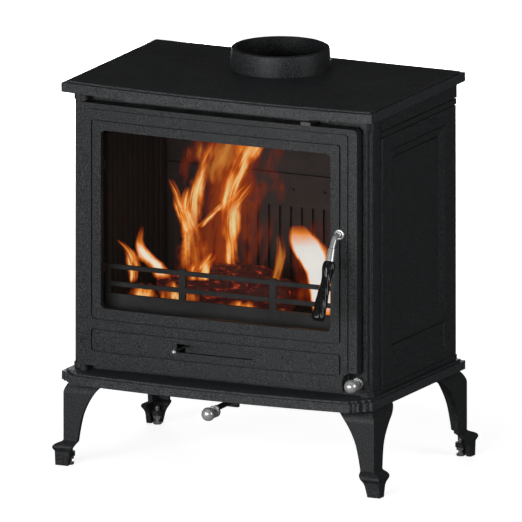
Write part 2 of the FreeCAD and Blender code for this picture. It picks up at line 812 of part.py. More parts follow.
def airwash_screws():
    screws = []
    for x in (-182, 150):
        head = rod(4.4, (x, -166.4, 666), (0, 1, 0), 3)
        screws.append(head.fuse(rod(2.5, (x, -163.6, 666), (0, 1, 0), 14)))
    return group(screws)


def airwash_baffle():
    drop = box(-238, 238, -131, -128, 616, 656)
    flange = box(-238, 238, FRAME_BACK, -128, 653, 656)
    return fuse([drop, flange])


def primary_air_bar():
    bar = box(-7, 7, -197, -30, PRIMARY_Z - 2, PRIMARY_Z + 2)
    damper = box(-36, 36, -34, 34, PRIMARY_Z - 2, PRIMARY_Z + 2)
    lug = box(-7, 7, -197, -193, 121, PRIMARY_Z + 2)
    return fuse([bar, damper, lug]).cut(rod(2.5, (0, -200, 129), (0, 1, 0), 10))


def primary_air_knob():
    knob = ball(BALL, (0, -224, 129))
    neck = cone(5.5, 7.5, (0, -214, 129), (0, 1, 0), 13)
    disc = rod(11.0, (0, -201, 129), (0, 1, 0), 4)
    screw = rod(2.5, (0, -198, 129), (0, 1, 0), 7)
    return fuse([knob, neck, disc, screw])


def primary_air_bracket():
    strap = box(-9.5, 9.5, -124, -116, 121.5, BASE_Z)
    return strap.cut(box(-7.8, 7.8, -130, -110, PRIMARY_Z - 2.3, PRIMARY_Z + 2.3))


def air_box():
    shell = box(-60, 60, -80, 50, 126.6, BASE_Z)
    shell = shell.cut(box(-56, 56, -76, 46, 130.8, BASE_Z + 1))
    shell = shell.cut(box(-28, 28, -24, 24, 120, 140))
    shell = shell.cut(box(-8, 8, -90, -70, 130.8, 135.4))
    for x in (-51, 51):
        for y in (-70, 40):
            shell = shell.fuse(rod(4.0, (x, y, 130), (0, 0, 1), BASE_Z - 130))
    shell = shell.removeSplitter()
    for x in (-51, 51):
        for y in (-70, 40):
            shell = shell.cut(rod(2.0, (x, y, 120), (0, 0, 1), 50))
    return shell


def air_box_screws():
    screws = []
    for x in (-51, 51):
        for y in (-70, 40):
            head = rod(3.8, (x, y, 123.6), (0, 0, 1), 3)
            screws.append(head.fuse(rod(2.0, (x, y, 126), (0, 0, 1), 39)))
    return group(screws)


def riddling_bush():
    disc = rod(10.3, (RIDDLE_X, -172.2, RIDDLE_Z), (0, 1, 0), 4)
    tube = rod(7.0, (RIDDLE_X, -169, RIDDLE_Z), (0, 1, 0), 9)
    bush = fuse([disc, tube])
    bush = bush.cut(rod(4.0 + RUNNING, (RIDDLE_X, -180, RIDDLE_Z), (0, 1, 0), 30))
    return bush


def riddling_knob():
    knob = ball(BALL, (RIDDLE_X, -196.5, RIDDLE_Z))
    neck = cone(5.4, 6.8, (RIDDLE_X, -187, RIDDLE_Z), (0, 1, 0), 12)
    knob = fuse([knob, neck])
    return knob.cut(rod(4.0, (RIDDLE_X, -192, RIDDLE_Z), (0, 1, 0), 30))


def riddling_rod():
    bar = rod(4.0, (RIDDLE_X, -192, RIDDLE_Z), (0, 1, 0), 205)
    strut = box(253, 262, -4, 13, RIDDLE_Z - 4, 247)
    arm = box(58, 262, -4, 13, 241, 247)
    peg = box(60, 72, -2, 11, 246, 256.2)
    return fuse([bar, strut, arm, peg])


# ---------------------------------------------------------------- firebox


def grate_frame():
    frame = box(-269, 269, -140, 148, LEDGE_TOP, GRATE_TOP)
    frame = frame.cut(box(-98, 98, -92, 82, 256, GRATE_TOP + 1))
    frame = frame.cut(box(-86, 86, -86, 72, LEDGE_TOP - 1, 257))
    lip = box(-236, 236, FRAME_BACK + 1, -139, LEDGE_TOP, GRATE_TOP)
    frame = fuse([frame, lip])
    for x in (-88, 88):
        frame = frame.cut(box(x - 5.5, x + 5.5, -147.5, -141.5, 255, GRATE_TOP + 1))
    return frame


def riddling_grate():
    grate = box(-97, 97, -61, 81, 256.2, 266.5)
    for i in range(8):
        x = -86 + 23 * i
        grate = grate.cut(box(x, x + 11, -52, -4, 250, 270))
        grate = grate.cut(box(x, x + 11, 14, 72, 250, 270))
    return grate


def log_guard():
    strip = box(-236, 236, -147, -142, GRATE_TOP + 0.2, 309)
    bars = [box(-236, 236, -147, -142, z - 4, z + 4) for z in (326.5, 357.5)]
    posts = [box(x - 6.5, x + 6.5, -147, -142, 300, 365) for x in (-88, 88)]
    ends = [box(x - 4, x + 4, -147, -142, 300, 361.5) for x in (-232, 232)]
    pegs = [box(x - 4.8, x + 4.8, -146.9, -142.1, 258, 270) for x in (-88, 88)]
    return fuse([strip] + bars + posts + ends + pegs)


def liner_right():
    plate = box(246, 258, LINER_FRONT, 119, GRATE_TOP, LINER_TOP)
    ribs = []
    for i in range(11):
        y = LINER_FRONT + 4 + RIB_PITCH * i
        ribs.append(box(240, 247, y, y + RIB_WIDTH, GRATE_TOP, LINER_TOP))
    return fuse([plate] + ribs)


def liner_rear():
    plate = box(-258, 258, 126, 138, GRATE_TOP, LINER_TOP)
    ribs = []
    for i in range(22):
        x = -231.9 + RIB_PITCH * i
        ribs.append(box(x, x + RIB_WIDTH, 120, 127, GRATE_TOP, RIB_TOP + 1))
    cap = box(-258, 258, 120, 127, RIB_TOP, LINER_TOP)
    air_bar = box(-240, 240, 113, 121, AIR_BAR_LOW, AIR_BAR_HIGH)
    liner = fuse([plate, cap, air_bar] + ribs)
    for i in range(-3, 4):
        liner = liner.cut(rod(2.8, (2.2 + AIR_HOLE_PITCH * i, 119, AIR_HOLE_Z), (0, 1, 0), 5))
    return liner


def baffle_plate():
    plate = box(-252, 252, -72, 137, LINER_TOP, LINER_TOP + 9)
    lip = box(-252, 252, -72, -62, LINER_TOP, LINER_TOP + 22)
    return fuse([plate, lip])


def ash_pan():
    z0 = OPENING_LOW + 0.2
    pan = box(-220, 220, -142, 120, z0, 238)
    pan = pan.cut(box(-218.2, 218.2, -140.2, 118.2, z0 + 1.8, 240))
    for x in (-30, 30):
        pan = pan.cut(rod(2.0, (x, -145, 226), (0, 1, 0), 8))
    return pan


def ash_pan_handle():
    grip = box(-36, 36, -164, -160, 222, 230)
    legs = [box(x - 6, x + 6, -164, -142, 222, 230) for x in (-30, 30)]
    studs = [rod(2.0, (x, -143, 226), (0, 1, 0), 5) for x in (-30, 30)]
    return fuse([grip] + legs + studs)


def build_parts():
    leg = leg_block()
    side = side_panel_right()
    liner = liner_right()
    corners = {
        "front_left": (False, False),
        "front_right": (True, False),
        "rear_left": (False, True),
        "rear_right": (True, True),
    }
    parts = {
        "top_plate": top_plate(),
        "flue_collar": flue_collar(),
        "collar_screws": collar_screws(),
        "base_plate": base_plate(),
        "front_frame": front_frame(),
        "side_panel_right": side,
        "side_panel_left": mirror_x(side),
        "rear_panel": rear_panel(),
        "tie_rods": tie_rods(),
        "tie_rod_nuts": tie_rod_nuts(),
        "leg_bolts": leg_bolts(),
        "foot_lock_nuts": group([placed_leg(lock_nut(), *corner) for corner in corners.values()]),
        "door_frame": door_frame(),
        "door_glass": door_glass(),
        "glass_seal": glass_seal(),
        "glass_clips": glass_clips(),
        "glass_screws": glass_screws(),
        "door_rope": door_rope(),
        "hinge_pins": hinge_pins(),
        "hinge_brackets": hinge_brackets(),
        "handle_ring": handle_ring(),
        "handle_stem": handle_stem(),
        "handle_grip": handle_grip(),
        "latch_tongue": latch_tongue(),
        "spindle_nut": spindle_nut(),
        "latch_keeper": latch_keeper(),
        "keeper_screws": keeper_screws(),
        "air_slider_plate": air_slider_plate(),
        "air_slider_rod": air_slider_rod(),
        "air_slider_tip": air_slider_tip(),
        "slider_guides": slider_guides(),
        "airwash_slide": airwash_slide(),
        "airwash_screws": airwash_screws(),
        "airwash_baffle": airwash_baffle(),
        "primary_air_bar": primary_air_bar(),
        "primary_air_knob": primary_air_knob(),
        "primary_air_bracket": primary_air_bracket(),
        "air_box": air_box(),
        "air_box_screws": air_box_screws(),
        "riddling_bush": riddling_bush(),
        "riddling_knob": riddling_knob(),
        "riddling_rod": riddling_rod(),
        "grate_frame": grate_frame(),
        "riddling_grate": riddling_grate(),
        "log_guard": log_guard(),
        "liner_right": liner,
        "liner_left": mirror_x(liner),
        "liner_rear": liner_rear(),
        "baffle_plate": baffle_plate(),
        "ash_pan": ash_pan(),
        "ash_pan_handle": ash_pan_handle(),
    }
    for name, corner in corners.items():
        parts["leg_" + name] = placed_leg(leg, *corner)
        parts["levelling_bolt_" + name] = placed_leg(levelling_bolt(), *corner)
    return parts


os.makedirs("parts", exist_ok=True)
for node, shape in build_parts().items():
    placed = shape.copy()
    placed.translate(vec(0, Y_SHIFT, 0))
    placed.exportStep("parts/" + node + ".step")
    bounds = placed.optimalBoundingBox()
    print(node, len(placed.Solids), placed.isValid(), round(placed.Volume / 1000, 1),
          [round(v, 1) for v in (bounds.XMin, bounds.XMax, bounds.YMin, bounds.YMax)],
          [round(v, 1) for v in (bounds.ZMin, bounds.ZMax)])
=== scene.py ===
import json
import math
import random

import bpy
from mathutils import Matrix, Vector


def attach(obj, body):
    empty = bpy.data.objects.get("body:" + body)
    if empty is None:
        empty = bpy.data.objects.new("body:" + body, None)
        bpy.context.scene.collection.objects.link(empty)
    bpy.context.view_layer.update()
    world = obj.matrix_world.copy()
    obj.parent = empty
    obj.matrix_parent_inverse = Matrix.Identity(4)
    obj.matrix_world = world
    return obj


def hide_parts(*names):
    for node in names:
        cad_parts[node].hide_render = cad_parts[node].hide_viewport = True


# Metres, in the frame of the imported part. SHIFT is the part's own shift of the front towards the back.
SHIFT = 0.03875

# A parallel view, from the front right and a little above.
VIEW_RIGHT = Vector((0.9026, 0.4305, 0.0))
VIEW_UP = Vector((-0.0943, 0.1977, 0.9757))
VIEW_BACK = Vector((0.4200, -0.8807, 0.2190))
LOOK_AT = Vector((-0.0366, 0.0675 + SHIFT, 0.3415))
VIEW_WIDTH = 0.9148
VIEW_DISTANCE = 5.0

# Door handle: the grip hangs from TOP towards BOTTOM.
GRIP_TOP = Vector((0.241, -0.2351 + SHIFT, 0.4276))
GRIP_BOTTOM = Vector((0.241, -0.2839 + SHIFT, 0.3333))
GRIP_PROFILE = [
    (0.0, 0.0088), (0.02, 0.0104), (0.08, 0.0117), (0.13, 0.0116), (0.20, 0.0098), (0.28, 0.0084),
    (0.37, 0.0084), (0.52, 0.0102), (0.66, 0.0111), (0.80, 0.0114), (0.93, 0.0122), (0.98, 0.0114),
    (1.0, 0.0096),
]
GRIP_SIDES = 8
GRIP_TURNS = 0.55


def material(name):
    mat = bpy.data.materials.new(name)
    mat.use_nodes = True
    shader = mat.node_tree.nodes["Principled BSDF"]
    return mat, mat.node_tree, shader


def add(tree, kind, **values):
    node = tree.nodes.new(kind)
    for key, value in values.items():
        setattr(node, key, value)
    return node


def coordinates(tree, scale=(1, 1, 1)):
    """Object coordinates, in metres, stretched by scale."""
    source = add(tree, "ShaderNodeTexCoord")
    mapping = add(tree, "ShaderNodeMapping")
    mapping.inputs["Scale"].default_value = scale
    tree.links.new(source.outputs["Object"], mapping.inputs["Vector"])
    return mapping.outputs["Vector"]


def noise(tree, vector, scale, detail=3.0, roughness=0.5):
    node = add(tree, "ShaderNodeTexNoise")
    node.inputs["Scale"].default_value = scale
    node.inputs["Detail"].default_value = detail
    node.inputs["Roughness"].default_value = roughness
    tree.links.new(vector, node.inputs["Vector"])
    return node.outputs["Fac"]


def ramp(tree, factor, stops):
    node = add(tree, "ShaderNodeValToRGB")
    elements = node.color_ramp.elements
    while len(elements) < len(stops):
        elements.new(0.5)
    for element, (position, colour) in zip(elements, stops):
        element.position = position
        element.color = (*colour, 1.0) if len(colour) == 3 else colour
    tree.links.new(factor, node.inputs["Fac"])
    return node.outputs["Color"]


def grey(value):
    return (value, value, value)


def spread(tree, factor, low, high, new_low, new_high):
    node = add(tree, "ShaderNodeMapRange")
    node.inputs["From Min"].default_value = low
    node.inputs["From Max"].default_value = high
    node.inputs["To Min"].default_value = new_low
    node.inputs["To Max"].default_value = new_high
    tree.links.new(factor, node.inputs["Value"])
    return node.outputs["Result"]


def maths(tree, operation, first, second):
    node = add(tree, "ShaderNodeMath", operation=operation)
    for socket, value in zip(node.inputs, (first, second)):
        if isinstance(value, (int, float)):
            socket.default_value = value
        elif value is not None:
            tree.links.new(value, socket)
    return node.outputs["Value"]


def relief(tree, shader, height, strength, distance, edge=0.0):
    """Bump from a height, over edges rounded by edge metres."""
    bump = add(tree, "ShaderNodeBump")
    bump.inputs["Strength"].default_value = strength
    bump.inputs["Distance"].default_value = distance
    tree.links.new(height, bump.inputs["Height"])
    if edge:
        bevel = add(tree, "ShaderNodeBevel", samples=6)
        bevel.inputs["Radius"].default_value = edge
        tree.links.new(bevel.outputs["Normal"], bump.inputs["Normal"])
    tree.links.new(bump.outputs["Normal"], shader.inputs["Normal"])


def cast_iron(name, painted_light_scale):
    """Heat-proof satin paint over sand-cast iron: fine crisp grain with brighter specks."""
    mat, tree, shader = material(name)
    place = coordinates(tree)
    grain = noise(tree, place, 600.0, 2.0, 0.75)
    cloud = noise(tree, place, 9.0, 3.0)
    stops = [
        (0.39, (0.004, 0.0044, 0.0048)),
        (0.50, (0.019, 0.0203, 0.0217)),
        (0.62, (0.066, 0.070, 0.074)),
    ]
    # The scale lightens the whole paint; above 1.0 it is painted light, not a different paint.
    tint = ramp(tree, grain, [(spot, tuple(painted_light_scale * c for c in colour)) for spot, colour in stops])
    tree.links.new(tint, shader.inputs["Base Color"])
    shader.inputs["Specular IOR Level"].default_value = 0.25
    fine = spread(tree, grain, 0.3, 0.7, 0.42, 0.60)
    broad = spread(tree, cloud, 0.3, 0.7, -0.05, 0.05)
    rough = maths(tree, "ADD", fine, broad)
    tree.links.new(rough, shader.inputs["Roughness"])
    relief(tree, shader, grain, 0.16, 0.0004, edge=0.0005)
    return mat


def fire_iron(name, light):
    """Bare iron near the fire: sooty, with a dry grain and a little rust."""
    mat, tree, shader = material(name)
    place = coordinates(tree)
    grain = noise(tree, place, 420.0, 4.0, 0.6)
    soot = noise(tree, place, 14.0, 5.0, 0.6)
    mixed = maths(tree, "ADD", maths(tree, "MULTIPLY", grain, 0.45), maths(tree, "MULTIPLY", soot, 0.55))
    dark = tuple(0.25 * c for c in light)
    tint = ramp(tree, mixed, [(0.36, dark), (0.52, light), (0.68, tuple(1.9 * c for c in light))])
    tree.links.new(tint, shader.inputs["Base Color"])
    tree.links.new(spread(tree, grain, 0.3, 0.7, 0.6, 0.85), shader.inputs["Roughness"])
    relief(tree, shader, mixed, 0.5, 0.001, edge=0.0008)
    return mat


def chrome():
    mat, tree, shader = material("chrome")
    place = coordinates(tree)
    haze = noise(tree, place, 60.0, 4.0)
    shader.inputs["Metallic"].default_value = 0.65
    tint = ramp(tree, haze, [(0.35, grey(0.68)), (0.65, grey(0.86))])
    tree.links.new(tint, shader.inputs["Base Color"])
    tree.links.new(spread(tree, haze, 0.3, 0.7, 0.20, 0.32), shader.inputs["Roughness"])
    relief(tree, shader, noise(tree, place, 500.0, 2.0), 0.04, 0.0003, edge=0.0006)
    return mat


def plated(name, low, high, metallic):
    """Plated or painted steel with a faint drawn grain along its length."""
    mat, tree, shader = material(name)
    place = coordinates(tree, (1.0, 0.15, 1.0))
    grain = noise(tree, place, 600.0, 4.0, 0.6)
    wear = noise(tree, coordinates(tree), 40.0, 4.0)
    shader.inputs["Metallic"].default_value = metallic
    mixed = maths(tree, "ADD", maths(tree, "MULTIPLY", grain, 0.5), maths(tree, "MULTIPLY", wear, 0.5))
    tree.links.new(ramp(tree, mixed, [(0.36, grey(low)), (0.64, grey(high))]), shader.inputs["Base Color"])
    tree.links.new(spread(tree, grain, 0.3, 0.7, 0.32, 0.5), shader.inputs["Roughness"])
    relief(tree, shader, grain, 0.12, 0.0003, edge=0.0006)
    return mat


def grip_paint():
    mat, tree, shader = material("grip")
    place = coordinates(tree)
    grain = noise(tree, place, 300.0, 3.0)
    tint = ramp(tree, grain, [(0.35, grey(0.004)), (0.65, grey(0.010))])
    tree.links.new(tint, shader.inputs["Base Color"])
    tree.links.new(spread(tree, grain, 0.3, 0.7, 0.16, 0.30), shader.inputs["Roughness"])
    relief(tree, shader, grain, 0.08, 0.0003, edge=0.0005)
    return mat


def glass():
    """Ceramic glass: clear, with a faint smoky bloom."""
    mat, tree, shader = material("glass")
    bloom = noise(tree, coordinates(tree), 7.0, 4.0)
    shader.inputs["Base Color"].default_value = (0.02, 0.018, 0.016, 1.0)
    shader.inputs["Roughness"].default_value = 0.04
    tree.links.new(spread(tree, bloom, 0.3, 0.75, 0.06, 0.16), shader.inputs["Alpha"])
    return mat


def rope():
    mat, tree, shader = material("rope")
    place = coordinates(tree)
    twist = add(tree, "ShaderNodeTexWave", wave_type="BANDS", bands_direction="DIAGONAL")
    twist.inputs["Scale"].default_value = 160.0
    twist.inputs["Distortion"].default_value = 2.0
    tree.links.new(place, twist.inputs["Vector"])
    strand = twist.outputs["Fac"]
    tint = ramp(tree, strand, [(0.0, (0.30, 0.28, 0.25)), (1.0, (0.66, 0.63, 0.57))])
    tree.links.new(tint, shader.inputs["Base Color"])
    shader.inputs["Roughness"].default_value = 0.9
    relief(tree, shader, strand, 0.8, 0.001)
    return mat


def dress_nodes(frame, slots):
    for entry in frame["record"]["subparts"]:
        node = frame["nodes"][entry["node"]]
        node.data.materials.clear()
        node.data.materials.append(slots[entry["material_slot"]])


def mesh_object(name, points, faces, mat, smooth=False):
    mesh = bpy.data.meshes.new(name)
    mesh.from_pydata(points, [], faces)
    mesh.materials.append(mat)
    for polygon in mesh.polygons:
        polygon.use_smooth = smooth
    mesh.update()
    piece = bpy.data.objects.new(name, mesh)
    bpy.context.scene.collection.objects.link(piece)
    return piece


def blend_profile(profile, t):
    for (t0, r0), (t1, r1) in zip(profile, profile[1:]):
        if t <= t1:
            share = (t - t0) / (t1 - t0)
            return r0 + (r1 - r0) * share
    return profile[-1][1]


def handle_grip(mat):
    """The black grip: eight flutes that wind down it, from a bulb at the top to a flared foot."""
    along = GRIP_BOTTOM - GRIP_TOP
    side = Vector((1, 0, 0))
    out = along.normalized().cross(side)
    rings = 72
    around = GRIP_SIDES * 6
    points = []
    for i in range(rings + 1):
        t = i / rings
        radius = blend_profile(GRIP_PROFILE, t)
        centre = GRIP_TOP + along * t
        flute = 0.085 * min(1.0, t * 12, (1 - t) * 14)
        for k in range(around):
            angle = 2 * math.pi * k / around
            wave = abs(math.sin(GRIP_SIDES * 0.5 * (angle + GRIP_TURNS * 2 * math.pi * t)))
            reach = radius * (1.0 - flute * (1 - wave))
            points.append(centre + (side * math.cos(angle) + out * math.sin(angle)) * reach)
    faces = []
    for i in range(rings):
        for k in range(around):
            a = i * around + k
            b = i * around + (k + 1) % around
            faces.append((a, b, b + around, a + around))
    faces.append(tuple(reversed(range(around))))
    faces.append(tuple(range(rings * around, (rings + 1) * around)))
    grip = mesh_object("handle_grip_fluted", points, faces, mat, smooth=True)
    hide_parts("handle_grip")
    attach(grip, "handle")


# ---------------------------------------------------------------- fire, which isn't part of the stove


def bark():
    mat, tree, shader = material("burning_log")
    rough = noise(tree, coordinates(tree), 55.0, 6.0, 0.65)
    cracks = noise(tree, coordinates(tree, (1.0, 2.5, 2.5)), 38.0, 5.0, 0.6)
    char = [(0.35, (0.012, 0.004, 0.003)), (0.60, (0.070, 0.016, 0.010)), (0.75, (0.16, 0.05, 0.03))]
    tree.links.new(ramp(tree, rough, char), shader.inputs["Base Color"])
    shader.inputs["Roughness"].default_value = 0.9
    embers = [(0.56, (0.012, 0.001, 0.001)), (0.66, (0.20, 0.014, 0.003)), (0.78, (0.9, 0.24, 0.05))]
    glow = ramp(tree, cracks, embers)
    tree.links.new(glow, shader.inputs["Emission Color"])
    shader.inputs["Emission Strength"].default_value = 1.6
    relief(tree, shader, rough, 0.9, 0.006)
    return mat


def flame_paint(name, heat, density, streaks, solid=0.0, glow=(1.0, 1.0, 1.0)):
    """A thin streaked sheet of flame, clear at its edges. Solid widens its middle; glow tints its edges."""
    mat, tree, shader = material(name)
    coords = add(tree, "ShaderNodeUVMap")
    split = add(tree, "ShaderNodeSeparateXYZ")
    tree.links.new(coords.outputs["UV"], split.inputs["Vector"])
    stretch = add(tree, "ShaderNodeMapping")
    stretch.inputs["Scale"].default_value = (streaks, 1.6, 1.0)
    tree.links.new(coords.outputs["UV"], stretch.inputs["Vector"])
    lick = noise(tree, stretch.outputs["Vector"], 1.0, 3.0, 0.5)
    sway = noise(tree, coordinates(tree, (1.0, 1.0, 0.5)), 26.0, 3.0, 0.5)
    bend = 0.22 - 0.5 * solid
    across = maths(tree, "ADD", split.outputs["X"], spread(tree, sway, 0.3, 0.7, -bend, bend))
    middle = maths(tree, "ABSOLUTE", maths(tree, "SUBTRACT", across, 0.5), None)
    core = spread(tree, middle, solid, 0.42, 1.0, 0.0)
    rise = spread(tree, split.outputs["Y"], 0.55, 1.0, 1.0, 0.0)
    foot = spread(tree, split.outputs["Y"], 0.0, 0.14, 0.0, 1.0)
    body = maths(tree, "MULTIPLY", maths(tree, "MULTIPLY", core, rise), foot)
    body = maths(tree, "MULTIPLY", body, spread(tree, lick, 0.32, 0.66, 0.12 + 2.6 * solid, 1.25))
    edge = tuple(a * b for a, b in zip(glow, (0.45, 0.03, 0.0)))
    orange = tuple(a * b for a, b in zip(glow, (0.85, 0.13, 0.01)))
    amber = tuple(a * b for a, b in zip(glow, (1.0, 0.30, 0.035)))
    colour = ramp(tree, body, [(0.0, edge), (0.18, orange), (0.42, amber), (0.85, heat)])
    shader.inputs["Base Color"].default_value = (0.0, 0.0, 0.0, 1.0)
    shader.inputs["Specular IOR Level"].default_value = 0.0
    shader.inputs["Roughness"].default_value = 1.0
    tree.links.new(colour, shader.inputs["Emission Color"])
    shader.inputs["Emission Strength"].default_value = 1.0
    tree.links.new(spread(tree, body, 0.03, 0.48, 0.0, density), shader.inputs["Alpha"])
    return mat


def along_spine(spine, t):
    """A smooth point on a line of (x, z, width) stations, root first."""
    place = t * (len(spine) - 1)
    i = min(int(place), len(spine) - 2)
    share = place - i
    before = spine[max(i - 1, 0)]
    after = spine[min(i + 2, len(spine) - 1)]
    values = []
    for a, b, c, d in zip(before, spine[i], spine[i + 1], after):
        values.append(b + 0.5 * share * (c - a + share * (2 * a - 5 * b + 4 * c - d
                                                          + share * (3 * (b - c) + d - a))))
    return values


def flame(name, depth, spine, mat):
    """A flat sheet of flame, turned square to the main view, with its U across and its V up the spine."""
    rows = 36
    points = []
    spots = []
    for i in range(rows + 1):
        t = i / rows
        x, z, width = along_spine(spine, t)
        points.append(at(x, depth, z) - VIEW_RIGHT * width / 2)
        points.append(at(x, depth, z) + VIEW_RIGHT * width / 2)
        spots.append((0.0, t))
        spots.append((1.0, t))
    faces = [(2 * i, 2 * i + 1, 2 * i + 3, 2 * i + 2) for i in range(rows)]
    sheet = mesh_object(name, points, faces, mat, smooth=True)
    layer = sheet.data.uv_layers.new(name="UVMap")
    for loop in sheet.data.loops:
        layer.data[loop.index].uv = spots[loop.vertex_index]
    sheet.visible_diffuse = False
    sheet.visible_glossy = False
    sheet.visible_shadow = False


def burning_log(name, start, end, radius, mat, seed):
    """A split log: a lumpy prism with a flat face."""
    chance = random.Random(seed)
    along = end - start
    forward = along.normalized()
    side = forward.cross(Vector((0, 0, 1))).normalized()
    out = side.cross(forward)
    rings = 22
    around = 26
    points = []
    for i in range(rings + 1):
        t = i / rings
        swell = 1.0 - 0.25 * (2 * t - 1) ** 6
        for k in range(around):
            angle = 2 * math.pi * k / around
            cut = 0.72 if math.sin(angle) > 0.5 else 1.0
            reach = radius * cut * swell * (0.94 + 0.12 * chance.random())
            points.append(start + along * t + (side * math.cos(angle) + out * math.sin(angle)) * reach)
    faces = []
    for i in range(rings):
        for k in range(around):
            a = i * around + k
            b = i * around + (k + 1) % around
            faces.append((a, b, b + around, a + around))
    faces.append(tuple(reversed(range(around))))
    faces.append(tuple(range(rings * around, (rings + 1) * around)))
    mesh_object(name, points, faces, mat)


def at(x, y, z):
    """A point given in metres about the centre of the top plate."""
    return Vector((x, y + SHIFT, z))


# Each flame: its name, its depth, its paint, and its stations of x, z and width from the root up, in metres.
FLAMES = [
    ("flame_haze", 0.030, "haze", [
        (-0.100, 0.310, 0.150), (-0.095, 0.380, 0.170), (-0.080, 0.450, 0.190), (-0.060, 0.520, 0.210),
        (-0.050, 0.590, 0.220), (-0.050, 0.640, 0.200)]),
    ("flame_crossing", -0.024, "haze", [
        (-0.100, 0.340, 0.090), (-0.095, 0.400, 0.090), (-0.080, 0.450, 0.100), (-0.055, 0.500, 0.110),
        (-0.030, 0.545, 0.110), (-0.010, 0.590, 0.090)]),
    ("flame_main", -0.030, "hot", [
        (-0.118, 0.325, 0.100), (-0.122, 0.377, 0.080), (-0.126, 0.421, 0.052), (-0.124, 0.458, 0.042),
        (-0.118, 0.490, 0.036), (-0.106, 0.523, 0.040), (-0.090, 0.552, 0.046), (-0.070, 0.590, 0.040)]),
    ("flame_main_tongue", -0.036, "hot", [
        (-0.120, 0.400, 0.050), (-0.132, 0.430, 0.044), (-0.145, 0.462, 0.036), (-0.166, 0.500, 0.020)]),
    ("flame_second", -0.034, "hot", [
        (-0.044, 0.340, 0.046), (-0.044, 0.380, 0.044), (-0.050, 0.420, 0.050), (-0.044, 0.455, 0.042),
        (-0.020, 0.485, 0.028), (0.000, 0.512, 0.014)]),
    ("flame_diagonal", -0.038, "hot", [
        (-0.108, 0.415, 0.020), (-0.085, 0.440, 0.024), (-0.045, 0.472, 0.024), (-0.011, 0.506, 0.016)]),
    ("flame_top", -0.020, "soft", [
        (-0.080, 0.490, 0.090), (-0.072, 0.520, 0.120), (-0.062, 0.550, 0.140), (-0.050, 0.590, 0.150),
        (-0.045, 0.630, 0.130)]),
    ("flame_top_streak", -0.040, "hot", [
        (-0.056, 0.440, 0.030), (-0.040, 0.500, 0.044), (-0.018, 0.545, 0.056), (0.006, 0.590, 0.060),
        (0.014, 0.630, 0.050)]),
    ("flame_far_left", -0.110, "hot", [
        (-0.200, 0.322, 0.024), (-0.198, 0.350, 0.028), (-0.206, 0.376, 0.026), (-0.230, 0.398, 0.018)]),
    ("flame_left", -0.110, "cream", [
        (-0.146, 0.335, 0.048), (-0.158, 0.356, 0.044), (-0.178, 0.376, 0.032), (-0.189, 0.398, 0.020),
        (-0.184, 0.428, 0.012)]),
    ("flame_low_left", -0.110, "hot", [
        (-0.190, 0.280, 0.060), (-0.185, 0.300, 0.075), (-0.180, 0.325, 0.060)]),
    ("flame_low_centre", -0.110, "hot", [
        (-0.118, 0.280, 0.070), (-0.116, 0.304, 0.090), (-0.120, 0.335, 0.070)]),
    ("flame_on_log", -0.060, "hot", [
        (-0.100, 0.325, 0.060), (-0.088, 0.350, 0.060), (-0.068, 0.380, 0.036)]),
    ("flame_under", -0.110, "hot", [
        (0.000, 0.272, 0.100), (0.004, 0.290, 0.110), (0.010, 0.312, 0.080)]),
    ("flame_under_right", -0.110, "hot", [
        (0.070, 0.270, 0.060), (0.076, 0.285, 0.070), (0.080, 0.305, 0.050)]),
    ("flame_right_thin", -0.030, "soft", [
        (0.030, 0.325, 0.034), (0.040, 0.355, 0.034), (0.047, 0.385, 0.030), (0.045, 0.420, 0.016)]),
    ("flame_right_glow", -0.010, "haze", [
        (0.110, 0.290, 0.120), (0.108, 0.345, 0.130), (0.104, 0.390, 0.130), (0.100, 0.450, 0.110)]),
    ("flame_right", -0.030, "solid", [
        (0.130, 0.270, 0.044), (0.126, 0.310, 0.044), (0.120, 0.345, 0.050), (0.113, 0.375, 0.066),
        (0.103, 0.400, 0.080), (0.088, 0.424, 0.052), (0.080, 0.438, 0.026)]),
]


def fire():
    wood = bark()
    burning_log("log_main", at(-0.130, -0.030, 0.296), at(0.062, -0.015, 0.310), 0.040, wood, 3)
    burning_log("log_top", at(-0.080, -0.050, 0.330), at(0.022, -0.010, 0.326), 0.038, wood, 11)
    burning_log("log_left", at(-0.215, 0.030, 0.296), at(-0.060, 0.055, 0.290), 0.028, wood, 5)
    paints = {
        "hot": flame_paint("flame_hot", (1.0, 0.80, 0.38), 0.96, 5.0),
        "soft": flame_paint("flame_soft", (1.0, 0.36, 0.06), 0.60, 7.0, glow=(0.8, 0.7, 0.6)),
        "haze": flame_paint("flame_haze", (0.34, 0.050, 0.007), 0.62, 7.0, glow=(0.30, 0.12, 0.10)),
        "cream": flame_paint("flame_cream", (1.0, 0.90, 0.70), 1.0, 2.0, solid=0.12),
        "solid": flame_paint("flame_solid", (0.88, 0.85, 0.80), 1.0, 0.8, solid=0.28),
    }
    for name, depth, paint, spine in FLAMES:
        flame(name, depth, spine, paints[paint])
    glow = bpy.data.lights.new("fire_glow", "POINT")
    glow.energy = 0.13
    glow.color = (1.0, 0.36, 0.10)
    glow.shadow_soft_size = 0.05
    for place in (at(-0.06, -0.02, 0.40), at(0.13, -0.06, 0.34)):
        lamp = bpy.data.objects.new("fire_glow", glow)
        lamp.location = place
        bpy.context.scene.collection.objects.link(lamp)


# ---------------------------------------------------------------- studio


